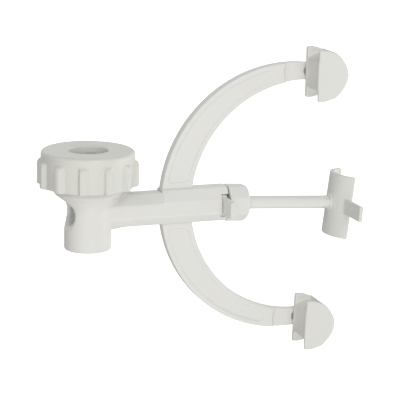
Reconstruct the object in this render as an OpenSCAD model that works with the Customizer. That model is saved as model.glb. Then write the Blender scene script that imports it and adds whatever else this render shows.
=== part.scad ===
// Self-retaining cheek retractor: clamp knob and post, octagonal arm, C-shaped bow with two
// swivelling pads, and a sliding rod with a half-round foot.
// Millimetres. +Z up along the knob axis, +X from the post along the arm, +Y to the rear.
// Origin: the support rod socket's axis crossing the post's axis.

/* [Clamp post and arm] */
// Diameter of the post
post_d = 19; // [17:0.5:26]
// Reach of the post below the socket axis
post_drop = 15.2; // [12:0.1:22]
// Bore diameter of the support rod socket
socket_d = 10.1; // [8:0.1:11]
// How far past the post axis the socket runs into the arm
socket_past = 6; // [4:0.5:10]
// Width across flats of the arm next to the post
arm_w = 13.6; // [12.6:0.2:15]
// Width of each flat on the arm
arm_flat = 5.3; // [4.5:0.1:6]
// Height of the arm's top flat beyond the bow above the arm's axis
arm_top2 = 7.7; // [7:0.1:8.2]
// Distance from the post axis to the end of the arm
arm_len = 58.6; // [56:0.2:64]
// Thickness of the rib under the arm at the post
gusset_t = 2; // [1.2:0.1:4]

/* [Knob] */
// Diameter over the knob's grip lobes
knob_d = 41; // [40:0.2:50]
// Diameter of the knob's drum between the lobes
knob_drum_d = 37.8; // [36:0.2:39]
// Height of the knob
knob_h = 14.45; // [14:0.05:20]
// Height of the knob's lower edge above the socket axis
knob_z = 11.1; // [10.5:0.1:12]
// Number of grip lobes
knob_lobes = 12; // [6:1:16]
// Diameter of the recess in the knob's top
recess_d = 16; // [12:0.5:20]
// Diameter of the clamp screw
screw_d = 8; // [6:0.1:8.2]

/* [Bow] */
// Radius of the bow's outer edge
bow_r = 56.7; // [50:0.1:62]
// Radius of the bow's inner edge
bow_ri = 49.2; // [44:0.1:50]
// Distance from the post axis to the centre of the outer edge
bow_x = 87; // [85:0.1:90]
// Offset of the inner edge's centre towards the pads
bow_shift = 5.6; // [4:0.1:7]
// Height of the bow's centre above the arm's axis
bow_z = 1.2; // [0:0.1:2]
// Thickness of the bow
bow_t = 4.7; // [4.4:0.1:6]
// Depth of the recessed panel between the bow's raised rims
panel_depth = 0.4; // [0.2:0.05:0.6]
// Width of the raised rims
rim_w = 2.1; // [1.5:0.1:3]

/* [Pads] */
// Height of the upper pad's pivot above the arm's axis
pivot_up = 53.9; // [53.4:0.1:54.4]
// Depth of the lower pad's pivot below the arm's axis
pivot_down = 51.65; // [51.1:0.05:52.2]
// Radius of a pad's half-round flanges
pad_r = 10.6; // [9.8:0.1:10.9]
// Radius of the round core between a pad's flanges
core_r = 7.9; // [6:0.1:8.2]
// Distance of the core's centre from a pad's pivot
core_out = 3.8; // [3:0.1:5]
// Length of a pad front to back
pad_len = 14.45; // [11:0.05:18]
// Distance from a pad's pivot to its flat side
pad_out = 1.7; // [1:0.1:4]
// Thickness of a pad's front flange
pad_front = 1.6; // [1.2:0.1:2.4]
// Diameter of a pad's pivot pin
pin_d = 4.2; // [3:0.1:4.6]
// Radius of the step in the bow that a pad swings inside
sweep_r = 11.3; // [11.1:0.1:12]

/* [Rod and foot] */
// Diameter of the rod
rod_d = 5.5; // [5:0.1:5.6]
// Downward slope of the rod
rod_dip = 3.5; // [2.8:0.1:4.2]
// Distance along the rod from the arm's end to the foot's wall
rod_out = 47.2; // [40:0.1:60]
// Length of the collar at the arm's end
collar_len = 9.2; // [8:0.1:12]
// Outer radius of the foot's trough
foot_r = 11.5; // [10:0.1:13]
// Wall of the foot
foot_t = 1.9; // [1.5:0.1:2.5]
// Height of the foot
foot_h = 26.6; // [22:0.2:34]
// Extra lean of the foot past square with the rod
foot_lean = 2.9; // [0:0.1:5]
// Angle of the trough's arc
foot_arc = 137; // [110:1:160]

/* [Hidden] */
$fn = 96;
e = 0.05;                       // running clearance on radius
post_r = post_d/2;
socket_r = socket_d/2;
knob_top = knob_z + knob_h;
screw_r = screw_d/2;
neck_z = 17.0;                  // top of the post's neck inside the knob
lift = 1.0;                     // distance from the clamp shoe to the rod when open
pivot_x = 94.1;                 // the pads' pivots, at the middle of the bow's two ends
pivot_x2 = 92.4;
pivots = [[pivot_x, pivot_up], [pivot_x2, -pivot_down]];
tongue_y = 1.0;                 // front of the bow's tongues, ahead of its middle
pad_y = 1.1;                    // back of a pad
pad_back = 2.2;                 // back flange of a pad
crown_r = 11.0;                 // crown of a pad between its flanges
nose_r = 1.2;                   // pivot pin's nose inside a pad
rod_z = 0.27;                   // height of the rod's axis at the arm's end
plate_x = 55.55;
plate_t = 2.2;
tab_h = 7.2;

// ---------- helpers ----------
module octagon(w, f)
    polygon([[-w/2, -f/2], [-f/2, -w/2], [f/2, -w/2], [w/2, -f/2],
             [w/2, f/2], [f/2, w/2], [-f/2, w/2], [-w/2, f/2]]);

module along_x(x0, x1)
    translate([x0, 0, 0]) rotate([90, 0, 90]) linear_extrude(x1 - x0) children();

module in_xz(t)
    rotate([90, 0, 0]) linear_extrude(t, center = true) children();

module cyl_x(x0, x1, r)
    translate([x0, 0, 0]) rotate([0, 90, 0]) cylinder(h = x1 - x0, r = r);

module cone_x(x0, x1, ra, rb)
    translate([x0, 0, 0]) rotate([0, 90, 0]) cylinder(h = x1 - x0, r1 = ra, r2 = rb);

// the rod's own frame: x runs along the rod, zero at the arm's end
module on_rod()
    translate([arm_len, 0, rod_z]) rotate([0, rod_dip, 0]) children();

module cyl_y(y0, y1, r)
    translate([0, y0, 0]) rotate([-90, 0, 0]) cylinder(h = y1 - y0, r = r);

module bow_shape(o)
    union() {
        difference() {
            translate([bow_x, bow_z]) circle(r = bow_r + o, $fn = 160);
            translate([bow_x + bow_shift, bow_z]) circle(r = bow_ri - o, $fn = 160);
            translate([pivot_x, 0]) square([200, 200]);
            translate([pivot_x2, -200]) square([200, 200.1]);
        }
        for (p = pivots) translate(p) circle(r = 3.5);
    }

// ---------- fixed pieces ----------
module frame()
    color([0.90, 0.89, 0.86])
    difference() {
        union() {
            rotate_extrude()
                polygon([[0, -post_drop], [post_r - 0.6, -post_drop], [post_r, -post_drop + 0.6],
                         [post_r, 1.2], [post_r + 0.15, 2.4], [post_r + 0.35, 3.5],
                         [post_r + 0.8, 4.5], [post_r + 1.4, 5.4], [post_r + 2.0, 6.2],
                         [post_r + 2.9, 7.0], [post_r + 3.7, 7.7], [post_r + 4.3, 8.2],
                         [post_r + 4.3, 12.4], [7.5, 12.4], [7.5, neck_z], [0, neck_z]]);
            along_x(0, 31) octagon(arm_w, arm_flat);
            along_x(30.6, arm_len)
                polygon([[-arm_w/2, -arm_flat/2], [-arm_flat/2, -arm_w/2], [arm_flat/2, -arm_w/2],
                         [arm_w/2, -arm_flat/2], [arm_w/2, arm_flat/2 + 0.1], [3.2, arm_top2],
                         [-3.2, arm_top2], [-arm_w/2, arm_flat/2 + 0.1]]);
            in_xz(gusset_t) polygon([[8, -6], [8, -8.6], [9.6, -8.4], [19.5, -arm_w/2 - 0.02],
                                     [19.5, -6]]);
            // shoulder from the post's flare into the top of the arm
            in_xz(5.2) polygon([[8, 5], [8, 9.2], [12.2, 9.2], [16.5, 6.7], [16.5, 5]]);
        }
        // support rod socket with its rounded mouth
        cyl_x(-20, socket_past, socket_r);
        cone_x(-post_r - 0.5, -post_r + 1.2, socket_r + 1.2, socket_r);
        // clamp shoe guide and thread insert seat
        translate([0, 0, 0]) cylinder(h = 11.02, r = 4.3);
        translate([0, 0, 11]) cylinder(h = 10, r = 5.62);
        // slot for the bow
        in_xz(bow_t + 0.06) intersection() {
            bow_shape(0.03);
            translate([20, -12]) square([40, 24]);
        }
        // rod bore, with room behind for the stop ring
        on_rod() cyl_x(-14.2, 3, rod_d/2 + e);
        on_rod() cyl_x(-14.2, -3.6, 3.5);
        // release plate pocket, open at the arm's end and to the front
        translate([plate_x - 0.15, -5.6, -4.5]) cube([6, 11.2, 9.3]);
        translate([plate_x - 0.15, -9, -3.45]) cube([6, 6, 7.5]);
        on_rod() for (s = [-1, 1]) translate([0, 0, 6.05*s]) cyl_x(-5, 2, 0.62);
    }

module bow()
    color([0.92, 0.91, 0.88])
    difference() {
        in_xz(bow_t) bow_shape(0);
        for (s = [-1, 1]) translate([0, s*(bow_t/2 - panel_depth/2 + 0.01), 0])
            in_xz(panel_depth + 0.02) difference() {
                translate([bow_x, bow_z]) circle(r = bow_r - rim_w, $fn = 160);
                translate([bow_x + bow_shift, bow_z]) circle(r = bow_ri + rim_w, $fn = 160);
                translate([pivot_x - 15.6, 0]) square([200, 200]);
                translate([pivot_x2 - 15.6, -200]) square([200, 200.1]);
                translate([0, -10.2]) square([60, 20.8]);
            }
        // tongues behind the pads, stepped back inside the pads' sweep, with the pivot bores
        for (p = pivots) translate([p[0], 0, p[1]]) {
            cyl_y(-bow_t, -tongue_y, sweep_r);
            cyl_y(-5, 5, pin_d/2 + e);
        }
    }

module thread_insert()
    color([0.80, 0.66, 0.36])
    translate([0, 0, 11.02]) difference() {
        cylinder(h = 5.9, r = 5.6);
        translate([0, 0, -1]) cylinder(h = 9, r = screw_r + e);
    }

module collar()
    color([0.90, 0.89, 0.86])
    on_rod() difference() {
        intersection() {
            along_x(0.6, 0.6 + collar_len) octagon(14.8, 6.1);
            union() {
                cyl_x(0.5, collar_len - 3.2, 9);
                translate([collar_len - 3.3, 0, 0]) rotate([0, 90, 0]) rotate_extrude()
                    polygon([[0, 0], [9, 0], [8.15, 0.6], [7.7, 1.5], [6.9, 2.5], [5.6, 3.4],
                             [4.2, 3.95], [0, 3.95]]);
            }
        }
        cyl_x(0, 20, rod_d/2 + e);
        for (s = [-1, 1]) translate([0, 0, 6.05*s]) cyl_x(0, 4.1, 0.62);
    }

module collar_pins()
    color([0.72, 0.73, 0.75])
    on_rod() for (s = [-1, 1]) translate([0, 0, 6.05*s]) cyl_x(-4.6, 4, 0.6);

module plate_spring()
    color([0.72, 0.73, 0.75])
    translate([0, 0, rod_z + 0.05]) difference() {
        cyl_x(58.4, 58.85, 4.3);
        cyl_x(58, 60, 3.3);
    }

// ---------- clamp screw group ----------
module clamp_shoe()
    color([0.80, 0.80, 0.78])
    difference() {
        translate([0, 0, 3.2]) cylinder(h = 6.9, r = 4.2);
        translate([0, 0, lift]) cyl_x(-6, 6, socket_r - 0.05);
        translate([0, 0, 7.2]) cylinder(h = 6, r = 1.95);
        translate([0, 0, 8.0]) cylinder(h = 1.1, r = 3.0);
    }

module clamp_screw()
    color([0.72, 0.73, 0.75])
    union() {
        difference() {
            translate([0, 0, 7.3]) cylinder(h = 4, r = 1.9);
            translate([0, 0, 8.2]) difference() {
                cylinder(h = 0.7, r = 4);
                translate([0, 0, -1]) cylinder(h = 3, r = 1.4);
            }
        }
        translate([0, 0, 10.3]) cylinder(h = 10, r = screw_r);
        translate([0, 0, 19.6]) cylinder(h = 3.4, r = 7.2, $fn = 6);
    }

module shoe_ring()
    color([0.72, 0.73, 0.75])
    translate([0, 0, 8.24]) difference() {
        cylinder(h = 0.62, r = 2.9);
        translate([0, 0, -1]) cylinder(h = 3, r = 1.42);
    }

module knob()
    color([0.88, 0.87, 0.84])
    difference() {
        union() {
            translate([0, 0, knob_z]) rotate_extrude()
                polygon([[0, 0], [knob_drum_d/2 - 0.5, 0], [knob_drum_d/2, 0.5],
                         [knob_drum_d/2, knob_h - 1.5], [knob_drum_d/2 - 0.12, knob_h - 0.95],
                         [knob_drum_d/2 - 0.45, knob_h - 0.45], [knob_drum_d/2 - 0.95, knob_h - 0.12],
                         [knob_drum_d/2 - 1.5, knob_h], [0, knob_h]]);
            intersection() {
                translate([0, 0, knob_z]) rotate_extrude()
                    polygon([[14, 0], [knob_d/2 - 0.5, 0], [knob_d/2, 0.5],
                             [knob_d/2, knob_h - 5.0], [knob_d/2 - 0.5, knob_h - 4.4],
                             [knob_d/2 - 1.7, knob_h - 3.7], [14, knob_h - 3.7]]);
                translate([0, 0, knob_z - 1]) linear_extrude(knob_h + 2)
                    for (i = [0 : knob_lobes - 1]) rotate(i*360/knob_lobes + 7.8)
                        polygon([[10, -1.6], [knob_drum_d/2 - 0.6, -2.6], [knob_drum_d/2 + 0.5, -1.95],
                                 [knob_d/2 - 0.4, -1.5], [knob_d/2 + 1, -1.1], [knob_d/2 + 1, 1.1],
                                 [knob_d/2 - 0.4, 1.5], [knob_drum_d/2 + 0.5, 1.95],
                                 [knob_drum_d/2 - 0.6, 2.6], [10, 1.6]]);
            }
        }
        translate([0, 0, knob_top - 3.9]) cylinder(h = 10, r = recess_d/2);
        translate([0, 0, knob_z - 1]) cylinder(h = 3.9, r = 15);
        translate([0, 0, knob_z - 1]) cylinder(h = 8.4, r = 8.3);
        translate([0, 0, 12]) cylinder(h = 12, r = screw_r + 0.02);
        translate([0, 0, 19.57]) cylinder(h = 10, r = 7.23, $fn = 6);
    }

// ---------- pads ----------
// a pad about its own pivot: two half-round flanges with a round core between them
module pad_shape()
    difference() {
        intersection() {
            union() {
                for (y = [-pad_y - pad_back, -pad_y - pad_len])
                    translate([0, y, 0]) rotate([-90, 0, 0]) rotate_extrude($fn = 120)
                        polygon([[0, 0], [pad_r - 0.3, 0], [pad_r, 0.3],
                                 [pad_r, (y < -9 ? pad_front : pad_back) - 0.3],
                                 [pad_r - 0.3, y < -9 ? pad_front : pad_back],
                                 [0, y < -9 ? pad_front : pad_back]]);
                translate([core_out, 0, 0]) cyl_y(-pad_y - pad_len + 0.5, 0.3 - pad_y - pad_back, core_r);
                // crown that closes the groove on the round side
                intersection() {
                    cyl_y(-pad_y - pad_len + 0.5, 0.3 - pad_y - pad_back, crown_r);
                    translate([5.2, -30, -40]) cube([40, 60, 80]);
                }
            }
            translate([-pad_out, -30, -40]) cube([40, 60, 80]);
        }
        cyl_y(-8.6, 0, nose_r + 0.02);
    }

module pin_shape()
    difference() {
        union() {
            cyl_y(-1.05, 3.9, pin_d/2);
            cyl_y(-8.5, -1, nose_r);
        }
        translate([0, 2.5, 0]) rotate([-90, 0, 0]) difference() {
            cylinder(h = 0.7, r = 5);
            translate([0, 0, -1]) cylinder(h = 3, r = pin_d/2 - 0.6);
        }
    }

module ring_shape()
    translate([0, 2.54, 0]) rotate([-90, 0, 0]) difference() {
        cylinder(h = 0.62, r = pin_d/2 + 1.2);
        translate([0, 0, -1]) cylinder(h = 4, r = pin_d/2 - 0.57);
    }

module pad_upper() color([0.88, 0.87, 0.84]) translate([pivot_x, 0, pivot_up]) pad_shape();
module pin_upper() color([0.72, 0.73, 0.75]) translate([pivot_x, 0, pivot_up]) pin_shape();
module ring_upper() color([0.72, 0.73, 0.75]) translate([pivot_x, 0, pivot_up]) ring_shape();
module pad_lower() color([0.88, 0.87, 0.84]) translate([pivot_x2, 0, -pivot_down]) rotate([0, 1.7, 0]) pad_shape();
module pin_lower() color([0.72, 0.73, 0.75]) translate([pivot_x2, 0, -pivot_down]) pin_shape();
module ring_lower() color([0.72, 0.73, 0.75]) translate([pivot_x2, 0, -pivot_down]) ring_shape();

// ---------- release plate, rod and foot ----------
module release_plate()
    color([0.86, 0.85, 0.81])
    difference() {
        union() {
            translate([plate_x, -5.4, -4.2]) cube([plate_t, 10.8, 8.7]);
            translate([plate_x, -15.7, rod_z + 0.05 - tab_h/2 + 0.1]) cube([plate_t, 11, tab_h - 0.2]);
        }
        translate([0, 0, rod_z + 0.12]) cyl_x(50, 60, rod_d/2 + 0.32);
    }

module rod()
    color([0.90, 0.89, 0.86])
    on_rod() difference() {
        cyl_x(-10.2, rod_out + 3.2, rod_d/2);
        translate([-9.4, 0, 0]) rotate([0, 90, 0]) difference() {
            cylinder(h = 1.4, r = 5);
            translate([0, 0, -1]) cylinder(h = 4, r = 2.0);
        }
    }

module rod_stop()
    color([0.72, 0.73, 0.75])
    on_rod() translate([-9.34, 0, 0]) rotate([0, 90, 0]) difference() {
        cylinder(h = 1.28, r = 3.45);
        translate([0, 0, -1]) cylinder(h = 4, r = 2.05);
    }

module foot()
    color([0.86, 0.85, 0.81])
    difference() {
        union() {
            on_rod() translate([rod_out + foot_r, 0, 0]) rotate([0, foot_lean, 0])
                translate([0, 0, -1]) difference() {
                    intersection() {
                        translate([0, 0, -foot_h/2]) cylinder(h = foot_h, r = foot_r);
                        rotate([0, 0, -6.5]) translate([0, 0, -foot_h]) linear_extrude(2*foot_h)
                            polygon([[0, 0], [-40*cos(foot_arc/2), -40*sin(foot_arc/2)], [-60, 0],
                                     [-40*cos(foot_arc/2), 40*sin(foot_arc/2)]]);
                    }
                    translate([0, 0, -foot_h]) cylinder(h = 2*foot_h, r = foot_r - foot_t);
                }
            // boss on the hollow side that takes the rod's end
            on_rod() cyl_x(rod_out + 1.0, rod_out + 4.2, 4.2);
            // finger tab
            on_rod() translate([rod_out + 3.6, -23.4, -3.3]) cube([1.7, 15.6, 6.6]);
        }
        on_rod() cyl_x(rod_out - 6, rod_out + 3.25, rod_d/2 + 0.02);
    }

frame();
bow();
thread_insert();
clamp_shoe();
knob();
clamp_screw();
shoe_ring();
pad_upper();
pin_upper();
ring_upper();
pad_lower();
pin_lower();
ring_lower();
release_plate();
plate_spring();
collar();
collar_pins();
rod();
rod_stop();
foot();
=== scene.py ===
import math

import bpy
import numpy as np
from mathutils import Matrix, Vector


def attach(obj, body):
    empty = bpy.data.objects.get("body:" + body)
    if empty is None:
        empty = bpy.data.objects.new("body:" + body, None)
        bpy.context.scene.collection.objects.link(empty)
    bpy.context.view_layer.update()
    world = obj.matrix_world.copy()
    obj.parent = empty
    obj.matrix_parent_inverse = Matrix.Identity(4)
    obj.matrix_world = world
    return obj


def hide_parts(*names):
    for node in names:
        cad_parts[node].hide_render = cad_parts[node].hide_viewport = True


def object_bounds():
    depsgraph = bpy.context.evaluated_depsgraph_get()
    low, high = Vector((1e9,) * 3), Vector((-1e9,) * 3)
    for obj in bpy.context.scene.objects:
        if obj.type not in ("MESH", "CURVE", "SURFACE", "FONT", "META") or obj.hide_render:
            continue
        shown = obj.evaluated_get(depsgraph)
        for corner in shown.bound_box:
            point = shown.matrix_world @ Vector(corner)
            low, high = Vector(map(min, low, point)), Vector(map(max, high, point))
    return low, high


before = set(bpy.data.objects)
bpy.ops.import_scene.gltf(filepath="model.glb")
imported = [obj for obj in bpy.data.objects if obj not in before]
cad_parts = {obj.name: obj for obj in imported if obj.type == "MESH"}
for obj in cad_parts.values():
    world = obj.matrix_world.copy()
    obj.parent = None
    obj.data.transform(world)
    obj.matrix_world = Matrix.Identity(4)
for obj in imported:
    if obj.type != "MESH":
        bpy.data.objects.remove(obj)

cad_lo, cad_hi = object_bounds()
MM = 0.001

# ------------------------------------------------------------------ sizes, in millimetres, as in the CAD
POST_R, POST_DROP, FLANGE_Z, NECK_Z = 9.5, 15.2, 12.4, 17.0
SOCKET_R, SOCKET_PAST = 5.05, 6.0
ARM_LEN = 58.6
KNOB_R, DRUM_R, KNOB_Z, KNOB_H = 20.5, 18.9, 11.1, 14.45
BOW_X, BOW_Z, BOW_R, BOW_IX, BOW_RI, BOW_T = 87.0, 1.2, 56.7, 92.6, 49.2, 4.7
PIVOTS = {"upper": (94.1, 53.9, 0.0), "lower": (92.4, -51.65, 1.7)}
TONGUE_Y, SWEEP_R, PIN_BORE = 1.0, 11.3, 2.15
PAD_R, CROWN_R, CORE_R, CORE_OUT, PAD_FLAT = 10.6, 11.0, 7.9, 3.8, 1.7
DIP = math.radians(3.5)
DC, DS = math.cos(DIP), math.sin(DIP)
ROD_Z, ROD_R, ROD_OUT = 0.27, 2.75, 47.2
FOOT_R, FOOT_T, FOOT_H, LEAN, ARC = 11.5, 1.9, 26.6, math.radians(2.9), math.radians(137)


# ------------------------------------------------------------------ distance-field helpers
def smin(a, b, k):
    h = np.clip(0.5 + 0.5 * (b - a) / k, 0.0, 1.0)
    return b * (1 - h) + a * h - k * h * (1 - h)


def smax(a, b, k):
    return -smin(-a, -b, k)


def octagon(y, z, w, f, k):
    y, z = np.abs(y), np.abs(z)
    s = (w + f) / 2
    return smax(smax(y - w / 2, z - w / 2, k), (y + z - s) * 0.70711, k)


def rbox(x, y, z, lo, hi, r):
    c = [(a + b) / 2 for a, b in zip(lo, hi)]
    h = [(b - a) / 2 - r for a, b in zip(lo, hi)]
    q = [np.abs(p - m) - s for p, m, s in zip((x, y, z), c, h)]
    out = np.sqrt(sum(np.maximum(v, 0) ** 2 for v in q))
    return out + np.minimum(np.maximum(np.maximum(q[0], q[1]), q[2]), 0) - r


def rod_frame(x, y, z):
    dx, dz = x - ARM_LEN, z - ROD_Z
    return dx * DC - dz * DS, y, dx * DS + dz * DC


def link(o):
    bpy.context.scene.collection.objects.link(o)
    return o


def to_object(name, verts, faces, smooth=True):
    me = bpy.data.meshes.new(name)
    me.from_pydata((np.asarray(verts, dtype=float) * MM).tolist(), [], [list(map(int, f)) for f in faces])
    me.validate()
    me.update()
    if smooth:
        me.polygons.foreach_set("use_smooth", [True] * len(me.polygons))
    return link(bpy.data.objects.new(name, me))


def field_mesh(name, f, lo, hi, h, steps=3):
    """A closed skin on f = 0: one vertex per crossed cell, then pulled onto the surface."""
    lo = np.array(lo, float) - 1.37 * h
    hi = np.array(hi, float) + 1.5 * h
    n = np.ceil((hi - lo) / h).astype(int) + 1
    ax = [lo[i] + h * np.arange(n[i]) for i in range(3)]
    v = np.empty(n, np.float32)
    for a in range(0, n[0], 24):
        g = np.meshgrid(ax[0][a:a + 24], ax[1], ax[2], indexing="ij")
        v[a:a + 24] = f(*g)
    s = v < 0
    c = sum(s[i:n[0] - 1 + i, j:n[1] - 1 + j, k:n[2] - 1 + k].astype(np.int8)
            for i in (0, 1) for j in (0, 1) for k in (0, 1))
    live = (c > 0) & (c < 8)
    index = np.full(live.shape, -1, np.int64)
    index[live] = np.arange(int(live.sum()))
    cells = np.argwhere(live)
    pos = np.zeros((len(cells), 3))
    hits = np.zeros(len(cells))
    unit = np.eye(3, dtype=int)
    for d in range(3):
        e, g = [i for i in range(3) if i != d]
        for p in (0, 1):
            for q in (0, 1):
                a = cells + p * unit[e] + q * unit[g]
                b = a + unit[d]
                va, vb = v[tuple(a.T)].astype(float), v[tuple(b.T)].astype(float)
                m = (va < 0) != (vb < 0)
                t = va[m] / (va[m] - vb[m])
                pos[m] += a[m] + t[:, None] * unit[d]
                hits[m] += 1
    pos = lo + h * pos / hits[:, None]
    faces = []
    for d in range(3):
        e, g = (d + 1) % 3, (d + 2) % 3
        low = [slice(None)] * 3
        high = [slice(None)] * 3
        low[d], high[d] = slice(0, -1), slice(1, None)
        sa, sb = s[tuple(low)], s[tuple(high)]
        at = np.argwhere(sa != sb)
        at = at[(at[:, e] > 0) & (at[:, g] > 0)]
        inside = sa[tuple(at.T)]
        c0, c1 = at, at - unit[e]
        c2, c3 = at - unit[e] - unit[g], at - unit[g]
        quad = np.stack([index[tuple(c.T)] for c in (c0, c1, c2, c3)], 1)
        quad[~inside] = quad[~inside][:, ::-1]
        faces.append(quad)
    faces = np.concatenate(faces)
    d = 0.02
    for _ in range(steps):
        x, y, z = pos.T
        w = f(x, y, z)
        grad = np.stack([f(x + d, y, z) - f(x - d, y, z), f(x, y + d, z) - f(x, y - d, z),
                         f(x, y, z + d) - f(x, y, z - d)], 1) / (2 * d)
        size = np.maximum((grad ** 2).sum(1), 0.05)
        move = -grad * (w / size)[:, None]
        far = np.linalg.norm(move, axis=1)
        move *= np.minimum(1, 0.4 * h / np.maximum(far, 1e-9))[:, None]
        pos += move
    return to_object(name, pos, faces)


def turned(name, profile, origin, x_axis, around=96, closed=True):
    """A solid of revolution. profile is (along, radius) pairs from the axis to the axis."""
    x_axis = np.array(x_axis, float)
    side = np.array((0.0, 1.0, 0.0))
    up = np.cross(x_axis, side)
    verts, rings = [], []
    for along, r in profile:
        if r <= 1e-6:
            rings.append([len(verts)])
            verts.append(np.array(origin) + x_axis * along)
            continue
        ring = []
        for i in range(around):
            t = 2 * math.pi * i / around
            ring.append(len(verts))
            verts.append(np.array(origin) + x_axis * along + r * (math.cos(t) * side + math.sin(t) * up))
        rings.append(ring)
    faces = []
    for a, b in zip(rings, rings[1:]):
        for i in range(around):
            j = (i + 1) % around
            if len(a) == 1 and len(b) > 1:
                faces.append((a[0], b[i], b[j]))
            elif len(b) == 1 and len(a) > 1:
                faces.append((a[i], b[0], a[j]))
            elif len(a) > 1:
                faces.append((a[i], b[i], b[j], a[j]))
    if closed and len(rings[0]) > 1:
        a, b = rings[-1], rings[0]
        for i in range(around):
            j = (i + 1) % around
            faces.append((a[i], b[i], b[j], a[j]))
    return to_object(name, verts, faces)


def arc(cx, cy, r, a0, a1, n):
    return [(cx + r * math.cos(math.radians(a0 + (a1 - a0) * i / n)),
             cy + r * math.sin(math.radians(a0 + (a1 - a0) * i / n))) for i in range(n + 1)]


# ------------------------------------------------------------------ materials
def plastic(name, warm, cool, rough, grain, sheen, seed):
    m = bpy.data.materials.new(name)
    m.use_nodes = True
    nt = m.node_tree
    nt.nodes.clear()
    out = nt.nodes.new("ShaderNodeOutputMaterial")
    p = nt.nodes.new("ShaderNodeBsdfPrincipled")
    nt.links.new(p.outputs[0], out.inputs[0])
    tc = nt.nodes.new("ShaderNodeTexCoord")
    mp = nt.nodes.new("ShaderNodeMapping")
    mp.inputs["Location"].default_value = (seed * 0.37, seed * 0.11, seed * 0.53)
    nt.links.new(tc.outputs["Object"], mp.inputs["Vector"])

    def noise(scale, detail, rough_, stretch=None):
        n = nt.nodes.new("ShaderNodeTexNoise")
        n.inputs["Scale"].default_value = scale
        n.inputs["Detail"].default_value = detail
        n.inputs["Roughness"].default_value = rough_
        if stretch:
            s = nt.nodes.new("ShaderNodeMapping")
            s.inputs["Scale"].default_value = stretch
            nt.links.new(mp.outputs[0], s.inputs["Vector"])
            nt.links.new(s.outputs[0], n.inputs["Vector"])
        else:
            nt.links.new(mp.outputs[0], n.inputs["Vector"])
        return n

    def ramp(src, a, b, lo, hi):
        r = nt.nodes.new("ShaderNodeMapRange")
        r.inputs["From Min"].default_value = a
        r.inputs["From Max"].default_value = b
        r.inputs["To Min"].default_value = lo
        r.inputs["To Max"].default_value = hi
        nt.links.new(src, r.inputs["Value"])
        return r

    # slow drift of tone through the moulding
    drift = noise(55, 3, 0.55)
    mix = nt.nodes.new("ShaderNodeMix")
    mix.data_type = "RGBA"
    mix.inputs["A"].default_value = (*warm, 1)
    mix.inputs["B"].default_value = (*cool, 1)
    nt.links.new(ramp(drift.outputs["Fac"], 0.35, 0.65, 0.0, 1.0).outputs[0], mix.inputs["Factor"])
    # fine speckle of pigment and handling marks
    speck = noise(2600, 2, 0.6)
    dark = nt.nodes.new("ShaderNodeMix")
    dark.data_type = "RGBA"
    dark.blend_type = "MULTIPLY"
    dark.inputs["B"].default_value = (0.90, 0.89, 0.87, 1)
    nt.links.new(mix.outputs["Result"], dark.inputs["A"])
    nt.links.new(ramp(speck.outputs["Fac"], 0.60, 0.74, 0.0, 0.55).outputs[0], dark.inputs["Factor"])
    nt.links.new(dark.outputs["Result"], p.inputs["Base Color"])
    # gloss varies with wear, broken by fine rub lines
    wear = noise(140, 4, 0.6)
    rub = noise(420, 3, 0.65, (0.12, 1.0, 3.0))
    add = nt.nodes.new("ShaderNodeMath")
    add.operation = "ADD"
    nt.links.new(ramp(wear.outputs["Fac"], 0.3, 0.7, rough - 0.05, rough + 0.07).outputs[0], add.inputs[0])
    nt.links.new(ramp(rub.outputs["Fac"], 0.55, 0.75, 0.0, 0.10).outputs[0], add.inputs[1])
    nt.links.new(add.outputs[0], p.inputs["Roughness"])
    # spark-eroded mould grain
    fine = noise(3200, 2, 0.5)
    soft = noise(900, 2, 0.5)
    sm = nt.nodes.new("ShaderNodeMath")
    sm.operation = "MULTIPLY_ADD"
    nt.links.new(soft.outputs["Fac"], sm.inputs[0])
    sm.inputs[1].default_value = 0.8
    nt.links.new(fine.outputs["Fac"], sm.inputs[2])
    bump = nt.nodes.new("ShaderNodeBump")
    bump.inputs["Strength"].default_value = grain
    bump.inputs["Distance"].default_value = 0.00006
    nt.links.new(sm.outputs[0], bump.inputs["Height"])
    nt.links.new(bump.outputs[0], p.inputs["Normal"])
    p.inputs["IOR"].default_value = 1.49
    p.inputs["Coat Weight"].default_value = sheen
    p.inputs["Coat Roughness"].default_value = 0.17
    return m


def metal(name, colour, rough, lines, metallic=1.0):
    m = bpy.data.materials.new(name)
    m.use_nodes = True
    nt = m.node_tree
    p = nt.nodes["Principled BSDF"]
    p.inputs["Metallic"].default_value = metallic
    tc = nt.nodes.new("ShaderNodeTexCoord")
    mp = nt.nodes.new("ShaderNodeMapping")
    mp.inputs["Scale"].default_value = lines
    nt.links.new(tc.outputs["Object"], mp.inputs["Vector"])
    n = nt.nodes.new("ShaderNodeTexNoise")
    n.inputs["Scale"].default_value = 700
    n.inputs["Detail"].default_value = 4
    nt.links.new(mp.outputs[0], n.inputs["Vector"])
    r = nt.nodes.new("ShaderNodeMapRange")
    r.inputs["To Min"].default_value = rough - 0.08
    r.inputs["To Max"].default_value = rough + 0.12
    nt.links.new(n.outputs["Fac"], r.inputs["Value"])
    nt.links.new(r.outputs[0], p.inputs["Roughness"])
    mix = nt.nodes.new("ShaderNodeMix")
    mix.data_type = "RGBA"
    mix.inputs["A"].default_value = (*[c * 0.86 for c in colour], 1)
    mix.inputs["B"].default_value = (*colour, 1)
    nt.links.new(n.outputs["Fac"], mix.inputs["Factor"])
    nt.links.new(mix.outputs["Result"], p.inputs["Base Color"])
    b = nt.nodes.new("ShaderNodeBump")
    b.inputs["Strength"].default_value = 0.25
    b.inputs["Distance"].default_value = 0.00003
    nt.links.new(n.outputs["Fac"], b.inputs["Height"])
    nt.links.new(b.outputs[0], p.inputs["Normal"])
    return m


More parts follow.
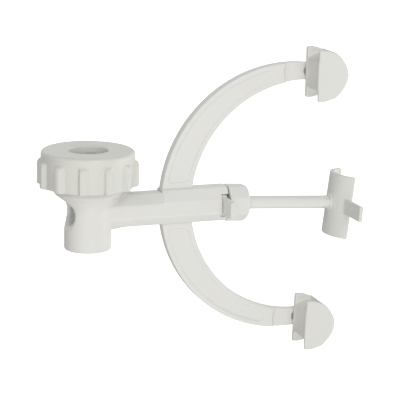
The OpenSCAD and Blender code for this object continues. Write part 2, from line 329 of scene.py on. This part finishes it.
MATS = {
    "body_plastic": plastic("body_plastic", (0.80, 0.79, 0.745), (0.785, 0.785, 0.755), 0.38, 0.30, 0.22, 1),
    "knob_plastic": plastic("knob_plastic", (0.745, 0.738, 0.678), (0.73, 0.728, 0.684), 0.38, 0.40, 0.35, 5),
    "pad_plastic": plastic("pad_plastic", (0.765, 0.758, 0.705), (0.75, 0.75, 0.71), 0.46, 0.45, 0.05, 9),
    "shoe_metal": metal("shoe_metal", (0.80, 0.80, 0.79), 0.34, (1, 1, 6)),
    "steel": metal("steel", (0.66, 0.67, 0.69), 0.28, (1, 1, 8)),
    "brass": metal("brass", (0.78, 0.60, 0.28), 0.30, (1, 1, 8)),
}


def finish_piece(o, node, body, slot):
    o.data.materials.clear()
    o.data.materials.append(MATS[slot])
    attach(o, body)
    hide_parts(node)
    return o


# ------------------------------------------------------------------ clamp post and arm
FLARE_Z = np.arange(-2.0, 16.0, 0.05)
FLARE_R = POST_R + np.interp(FLARE_Z, [1.2, 2.4, 3.5, 4.5, 5.4, 6.2, 7.0, 7.7, 8.2],
                             [0, 0.15, 0.35, 0.8, 1.4, 2.0, 2.9, 3.7, 4.3])
FLARE_R = np.convolve(np.pad(FLARE_R, 12, mode="edge"), np.ones(25) / 25, mode="valid")


def post_radius(z):
    return np.interp(z, FLARE_Z, FLARE_R)


def frame_field(x, y, z):
    r = np.sqrt(x * x + y * y)
    post = (r - post_radius(z)) * 0.72
    post = smax(post, z - FLANGE_Z, 0.5)
    post = smax(post, -POST_DROP - z, 0.9)
    neck = np.maximum(r - 7.5, np.maximum(z - NECK_Z, 8 - z))
    near = smax(octagon(y, z, 13.6, 5.3, 0.5), np.maximum(-x, x - 31), 0.1)
    ay = np.abs(y)
    far = smax(smax(ay - 6.8, z - 7.7, 0.5), -6.8 - z, 0.5)
    far = smax(far, ay * 0.8087 + z * 0.5882 - 7.117, 0.5)
    far = smax(far, (ay - z - 9.45) * 0.70711, 0.5)
    far = smax(far, 30.4 - x, 0.35)
    far = smax(far, x - ARM_LEN, 0.5)
    arm = np.minimum(near, far)
    d = smin(post, arm, 1.6)
    d = np.minimum(d, neck)
    # rib under the arm and shoulder above it
    low = smax(np.abs(y) - 1.0, -(z + 0.118 * (19.5 - x) + 6.82) * 0.99, 0.5)
    low = smax(smax(low, x - 19.5, 0.3), np.maximum(7 - x, z + 5), 0.3)
    top = smax(np.abs(y) - 2.6, (z - 6.7 - (16.5 - x) * 0.58) * 0.86, 0.5)
    top = smax(smax(top, x - 16.5, 0.3), np.maximum(np.maximum(7 - x, 5 - z), z - 9.2), 0.3)
    d = smin(d, low, 0.7)
    d = smin(d, top, 0.9)
    # support rod socket with a rounded mouth, and the shoe's guide above it
    sock = np.maximum(np.sqrt(y * y + z * z) - SOCKET_R, x - SOCKET_PAST)
    d = smax(d, -sock, 1.1 + 1.6 * np.clip((-x - 5) / 3, 0, 1))
    d = np.maximum(d, -np.maximum(r - 4.3, np.maximum(-z, z - 20)))
    d = np.maximum(d, -np.maximum(r - 5.62, 11 - z))
    # slot round the bow, rod bore, release plate pocket
    d = np.maximum(d, -(bow_field(x, y, z, False) - 0.12))
    u, v, w = rod_frame(x, y, z)
    rr = np.sqrt(v * v + w * w)
    d = np.maximum(d, -np.maximum(rr - 2.8, -14.2 - u))
    d = np.maximum(d, -np.maximum(rr - 3.5, np.maximum(-14.2 - u, u + 3.6)))
    pocket = np.minimum(rbox(x, y, z, (55.4, -5.6, -4.5), (62, 5.6, 4.8), 0.2),
                        rbox(x, y, z, (55.45, -9, -3.27), (62, -3, 3.91), 0.1))
    return smax(d, -pocket, 0.3)


def bow_field(x, y, z, detail=True):
    d1 = np.sqrt((x - BOW_X) ** 2 + (z - BOW_Z) ** 2) - BOW_R
    d2 = BOW_RI - np.sqrt((x - BOW_IX) ** 2 + (z - BOW_Z) ** 2)
    px = np.where(z > 0, PIVOTS["upper"][0], PIVOTS["lower"][0])
    pz = np.where(z > 0, PIVOTS["upper"][1], PIVOTS["lower"][1])
    end = x - px
    q = np.sqrt(end ** 2 + (z - pz) ** 2)
    band = np.minimum(np.maximum(smax(d1, d2, 0.2), end), q - 3.5)
    d = smax(band, np.abs(y) - BOW_T / 2, 0.75 if detail else 0.2)
    if detail:
        # panel sunk between two raised rims, on both faces, with rounded ends
        panel = smax(smax(d1 + 2.1, d2 + 2.1, 0.9), end + 15.6, 2.2)
        panel = smax(panel, 9.6 - np.abs(z - 0.6), 2.0)
        d = smax(d, -smax(panel, BOW_T / 2 - 0.42 - np.abs(y), 0.18), 0.22)
        # tongues behind the pads: stepped back inside the pads' sweep
        d = smax(d, -smax(q - SWEEP_R, y + TONGUE_Y, 0.2), 0.3)
        d = np.minimum(d, np.maximum(q - 2.8, np.abs(y + 0.98) - 0.1))
        d = np.maximum(d, -np.maximum(q - PIN_BORE, -0.9 - y))
    return d


frame_piece = field_mesh("post_and_arm", frame_field, (-13.9, -13.9, -15.3), (58.7, 13.9, 17.1), 0.36)
finish_piece(frame_piece, "frame", "frame_body", "body_plastic")

bow_piece = field_mesh("c_bow", bow_field, (30.2, -2.4, -55.6), (97.7, 2.4, 58.0), 0.36)
finish_piece(bow_piece, "bow", "frame_body", "body_plastic")


# ------------------------------------------------------------------ knob
def knob_mesh():
    around, ribs, turn = 720, 12, math.radians(7.8)
    top = KNOB_Z + KNOB_H
    prof = [(15.0, KNOB_Z + 0.25, 0), (15.25, KNOB_Z + 0.0, 0)]
    prof += [(16.6, KNOB_Z, 0), (DRUM_R - 0.55, KNOB_Z, 0.85), (DRUM_R - 0.2, KNOB_Z + 0.15, 0.95), (DRUM_R, KNOB_Z + 0.5, 1)]
    for i in range(1, 9):
        prof.append((DRUM_R, KNOB_Z + 0.5 + 8.5 * i / 8, 1))
    for i in range(1, 15):
        prof.append((DRUM_R, KNOB_Z + 9.0 + (KNOB_H - 10.45) * i / 14, 1))
    for i in range(1, 13):
        a = math.radians(90 * i / 12)
        prof.append((DRUM_R - 1.45 * (1 - math.cos(a)), top - 1.45 + 1.45 * math.sin(a), 0))
    prof += [(15.5, top, 0), (13.0, top, 0), (10.5, top, 0), (8.75, top, 0)]
    prof += [(8 + 0.7 * (1 - math.sin(math.radians(a))), top - 0.7 * (1 - math.cos(math.radians(a))), 0)
             for a in (20, 40, 60, 80, 90)]
    prof += [(8.0, top - 2.2, 0), (8.0, top - 3.6, 0), (7.7, top - 3.9, 0), (7.3, top - 3.9, 0)]
    prof += [(7.25, top - 5.9, 0), (4.02, top - 5.98, 0), (4.02, 18.5, 0), (8.3, 18.5, 0), (8.3, 14.02, 0), (15.0, 14.0, 0)]
    th = np.arange(around) * 2 * math.pi / around
    pitch = 2 * math.pi / ribs
    ph = (th - turn + pitch / 2) % pitch - pitch / 2
    half = np.where(ph < 0, math.radians(4.1), math.radians(4.5))
    flank = np.where(ph < 0, math.radians(1.5), math.radians(3.6))
    s = np.clip((half + flank - np.abs(ph)) / (2 * flank), 0, 1)
    s = s * s * (3 - 2 * s)
    verts = []
    for r, z, w in prof:
        # narrow grip ribs with rounded flanks, running out under the shoulder
        fade = 1 - np.clip((z - 19.6) / 2.2, 0, 1) ** 2
        hgt = (KNOB_R - DRUM_R) * w * math.sqrt(fade)
        rad = r + hgt * s * (0.9 if z < KNOB_Z + 0.5 else 1.0)
        verts.append(np.stack([rad * np.cos(th), rad * np.sin(th), np.full(around, z)], 1))
    verts = np.concatenate(verts)
    faces = []
    rows = len(prof)
    i = np.arange(around)
    j = (i + 1) % around
    for a in range(rows):
        b = (a + 1) % rows
        faces.append(np.stack([a * around + i, a * around + j, b * around + j, b * around + i], 1))
    return to_object("grip_knob", verts, np.concatenate(faces))


knob = knob_mesh()
finish_piece(knob, "knob", "knob_body", "knob_plastic")


# ------------------------------------------------------------------ pads
def pad_field(x0, z0, tilt):
    ct, st = math.cos(math.radians(tilt)), math.sin(math.radians(tilt))

    def f(x, y, z):
        # two half-round flanges with a round core between them, flat on the side away from the cheek
        dx, dz = x - x0, z - z0
        u, w = dx * ct - dz * st, dx * st + dz * ct
        r = np.sqrt(u * u + w * w)
        rim = smax(r - PAD_R, -PAD_FLAT - u, 0.6)
        front = smax(rim, np.abs(y + 14.75) - 0.8, 0.7)
        back = smax(rim, np.abs(y + 2.2) - 1.1, 0.7)
        core = smax(np.sqrt((u - CORE_OUT) ** 2 + w * w) - CORE_R, -PAD_FLAT - u, 0.6)
        core = smin(core, smax(r - CROWN_R, 5.2 - u, 0.3), 0.8)
        core = np.maximum(core, np.abs(y + 9.0) - 6.0)
        d = smin(np.minimum(front, back), core, 0.9)
        return np.maximum(d, -np.maximum(r - 1.22, -8.6 - y))
    return f


for side, (x0, z0, tilt) in PIVOTS.items():
    pad = field_mesh("cheek_pad_" + side, pad_field(x0, z0, tilt),
                     (x0 - 2.3, -15.6, z0 - 10.9), (x0 + 11.9, -1.0, z0 + 10.9), 0.27)
    finish_piece(pad, "pad_" + side, side + "_pad", "pad_plastic")


# ------------------------------------------------------------------ collar, release plate, rod, foot
def collar_field(x, y, z):
    u, v, w = rod_frame(x, y, z)
    rr = np.sqrt(v * v + w * w)
    d = smax(octagon(v, w, 14.8, 6.1, 0.6), np.where(rr > 4.8, 0.2, 0.6) - u, 0.3)
    a, b = rr - 4.5, u - 5.85
    dome = np.sqrt(np.maximum(a, 0) ** 2 + np.maximum(b, 0) ** 2) + np.minimum(np.maximum(a, b), 0) - 3.85
    d = smax(d, dome, 0.5)
    d = smax(d, -(rr - 2.8), 0.35)
    return np.maximum(d, -np.maximum(np.sqrt(v * v + (np.abs(w) - 6.05) ** 2) - 0.62, u - 4.1))


collar = field_mesh("guide_collar", collar_field, (58.6, -7.5, -8.1), (68.6, 7.5, 7.8), 0.3)
finish_piece(collar, "collar", "frame_body", "body_plastic")


def plate_field(x, y, z):
    a = rbox(x, y, z, (55.55, -5.4, -4.2), (57.75, 5.4, 4.5), 0.35)
    b = rbox(x, y, z, (55.55, -15.7, -3.18), (57.75, -4.7, 3.82), 0.45)
    d = smin(a, b, 0.4)
    return smax(d, -(np.sqrt(y * y + (z - 0.39) ** 2) - 3.07), 0.2)


plate = field_mesh("release_tab", plate_field, (55.5, -15.8, -4.3), (57.8, 5.5, 4.6), 0.26)
finish_piece(plate, "release_plate", "plate", "pad_plastic")

rod_dir = (DC, 0, -DS)
prof = [(-10.2, 0), (-10.2, 2.5), (-9.95, 2.75), (-9.4, 2.75), (-9.4, 2.0), (-8.0, 2.0), (-8.0, 2.75), (-4, 2.75)]
prof += [(u, 2.75) for u in range(0, 50, 4)] + [(50.2, 2.75), (50.38, 2.6), (50.38, 0)]
rod = turned("guide_rod", prof, (ARM_LEN, 0, ROD_Z), rod_dir, 72)
finish_piece(rod, "rod", "rod_body", "body_plastic")


def foot_field(x, y, z):
    u, v, w = rod_frame(x, y, z)
    # the trough leans a little past square with the rod
    p, s = u - ROD_OUT - FOOT_R, w
    p, s = p * math.cos(LEAN) - s * math.sin(LEAN), p * math.sin(LEAN) + s * math.cos(LEAN)
    s = s + 1.0
    rr = np.sqrt(p * p + v * v)
    wall = smax(rr - FOOT_R, FOOT_R - FOOT_T - rr, 0.5)
    wall = smax(wall, np.abs(s) - FOOT_H / 2, 0.55)
    t = math.radians(6.5)
    p2, v2 = p * math.cos(t) - v * math.sin(t), p * math.sin(t) + v * math.cos(t)
    half = ARC / 2
    edge = np.abs(v2) * math.cos(half) + p2 * math.sin(half)
    wall = smax(wall, edge, 0.7)
    q = np.sqrt(v * v + w * w)
    boss = smax(smax(q - 4.2, u - ROD_OUT - 4.2, 0.6), ROD_OUT + 1.0 - u, 0.1)
    d = smin(wall, boss, 0.9)
    nose = smax(q - 2.82, np.maximum(ROD_OUT - 3.0 - u, u - ROD_OUT - 3), 0.1)
    d = smin(d, nose, 1.5)
    tab = rbox(u, v, w, (ROD_OUT + 3.6, -23.4, -3.3), (ROD_OUT + 5.3, -7.8, 3.3), 0.5)
    corner = rbox(u * 0, v, w, (-1, -23.4, -3.3), (1, 0, 3.3), 1.0)
    tab = smax(tab, corner, 0.3)
    d = smin(d, tab, 0.8)
    return smax(d, -np.maximum(q - 2.76, u - ROD_OUT - 3.22), 0.05)


foot = field_mesh("trough_foot", foot_field, (103.0, -23.8, -19.6), (119.2, 11.9, 11.2), 0.28)
finish_piece(foot, "foot", "rod_body", "pad_plastic")

# ------------------------------------------------------------------ the small inner pieces keep their CAD shapes
SLOTS = {"thread_insert": "brass", "clamp_shoe": "shoe_metal", "clamp_screw": "steel", "shoe_ring": "steel",
         "pin_upper": "steel", "pin_lower": "steel", "ring_upper": "steel", "ring_lower": "steel", "plate_spring": "steel", "collar_pins": "steel",
         "rod_stop": "steel"}
for node, slot in SLOTS.items():
    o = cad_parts[node]
    o.data.materials.clear()
    o.data.materials.append(MATS[slot])

# ------------------------------------------------------------------ studio
floor_m = bpy.data.materials.new("studio_floor")
floor_m.use_nodes = True
fp = floor_m.node_tree.nodes["Principled BSDF"]
fp.inputs["Base Color"].default_value = (0.80, 0.80, 0.80, 1)
fp.inputs["Roughness"].default_value = 0.9
fp.inputs["Emission Color"].default_value = (1, 1, 1, 1)
fp.inputs["Emission Strength"].default_value = 1.0
n = 96
ring = [(3.0 * math.cos(2 * math.pi * i / n), 3.0 * math.sin(2 * math.pi * i / n), 0.0) for i in range(n)]
me = bpy.data.meshes.new("studio_floor")
me.from_pydata([(0, 0, 0)] + ring, [], [(0, 1 + i, 1 + (i + 1) % n) for i in range(n)])
floor = link(bpy.data.objects.new("studio_floor", me))
floor.location = (0.05, 0, cad_lo.z - 0.060)
floor.data.materials.append(floor_m)
floor.visible_diffuse = False
floor.visible_glossy = False

world = bpy.data.worlds.new("studio")
bpy.context.scene.world = world
world.use_nodes = True
wn = world.node_tree
bg = wn.nodes["Background"]
bg.inputs["Color"].default_value = (0.75, 0.75, 0.75, 1)
tc = wn.nodes.new("ShaderNodeTexCoord")
# soft panels round the set: direction and strength of each
PANELS = [((0, -1, 0), 0.40), ((-0.75, -0.66, 0), 0.85), ((1, 0.1, 0), 2.87), ((-1, 0.1, 0), 0.22), ((0, 1, 0), 0.97),
          ((0, -0.7, 0.7), 0.63), ((-0.6, -0.4, 0.7), 0.79), ((0, 0.7, 0.7), 0.58), ((0, 0, -1), 1.3), ((0, -0.7, -0.7), 1.32)]
total = None
for direction, strength in PANELS:
    dot = wn.nodes.new("ShaderNodeVectorMath")
    dot.operation = "DOT_PRODUCT"
    dot.inputs[1].default_value = Vector(direction).normalized()
    wn.links.new(tc.outputs["Generated"], dot.inputs[0])
    front = wn.nodes.new("ShaderNodeMath")
    front.operation = "MAXIMUM"
    front.inputs[1].default_value = 0
    wn.links.new(dot.outputs["Value"], front.inputs[0])
    lobe = wn.nodes.new("ShaderNodeMath")
    lobe.operation = "POWER"
    lobe.inputs[1].default_value = 4
    wn.links.new(front.outputs[0], lobe.inputs[0])
    part = wn.nodes.new("ShaderNodeMath")
    part.operation = "MULTIPLY_ADD"
    part.inputs[1].default_value = strength
    part.inputs[2].default_value = 0
    wn.links.new(lobe.outputs[0], part.inputs[0])
    if total is not None:
        wn.links.new(total.outputs[0], part.inputs[2])
    total = part
wn.links.new(total.outputs[0], bg.inputs["Strength"])


def area(name, at, look, size, power):
    l = bpy.data.lights.new(name, "AREA")
    l.shape = "DISK"
    l.size = size
    l.energy = power
    o = link(bpy.data.objects.new(name, l))
    o.location = at
    o.rotation_euler = (Vector(look) - Vector(at)).to_track_quat("-Z", "Y").to_euler()
    return o


area("key", (0.2216, -0.7428, 0.4654), (0.03, 0, 0), 0.14, 0.68)
area("top", (0.03, -0.6866, 0.5950), (0.03, 0, 0), 0.14, 0.78)

# ------------------------------------------------------------------ camera
AZ, EL, ROLL, FPX, DIST = -20.2, 13.7, 1.24, 1689.0, 0.694
TARGET = Vector((0.04793, 0, 0.00185))
a, e, r = map(math.radians, (AZ, EL, ROLL))
back = Vector((math.sin(a) * math.cos(e), -math.cos(a) * math.cos(e), math.sin(e)))
right = (-back).cross(Vector((0, 0, 1))).normalized()
up = right.cross(-back)
r2 = right * math.cos(r) + up * math.sin(r)
u2 = up * math.cos(r) - right * math.sin(r)
cam = bpy.data.cameras.new("camera")
cam.sensor_width = 36
cam.lens = FPX / 400 * 36
cam.clip_start, cam.clip_end = 0.01, 50
co = link(bpy.data.objects.new("camera", cam))
m = Matrix((r2, u2, back)).transposed().to_4x4()
m.translation = TARGET + back * DIST
co.matrix_world = m
bpy.context.scene.camera = co
bpy.context.scene.view_settings.view_transform = "Standard"
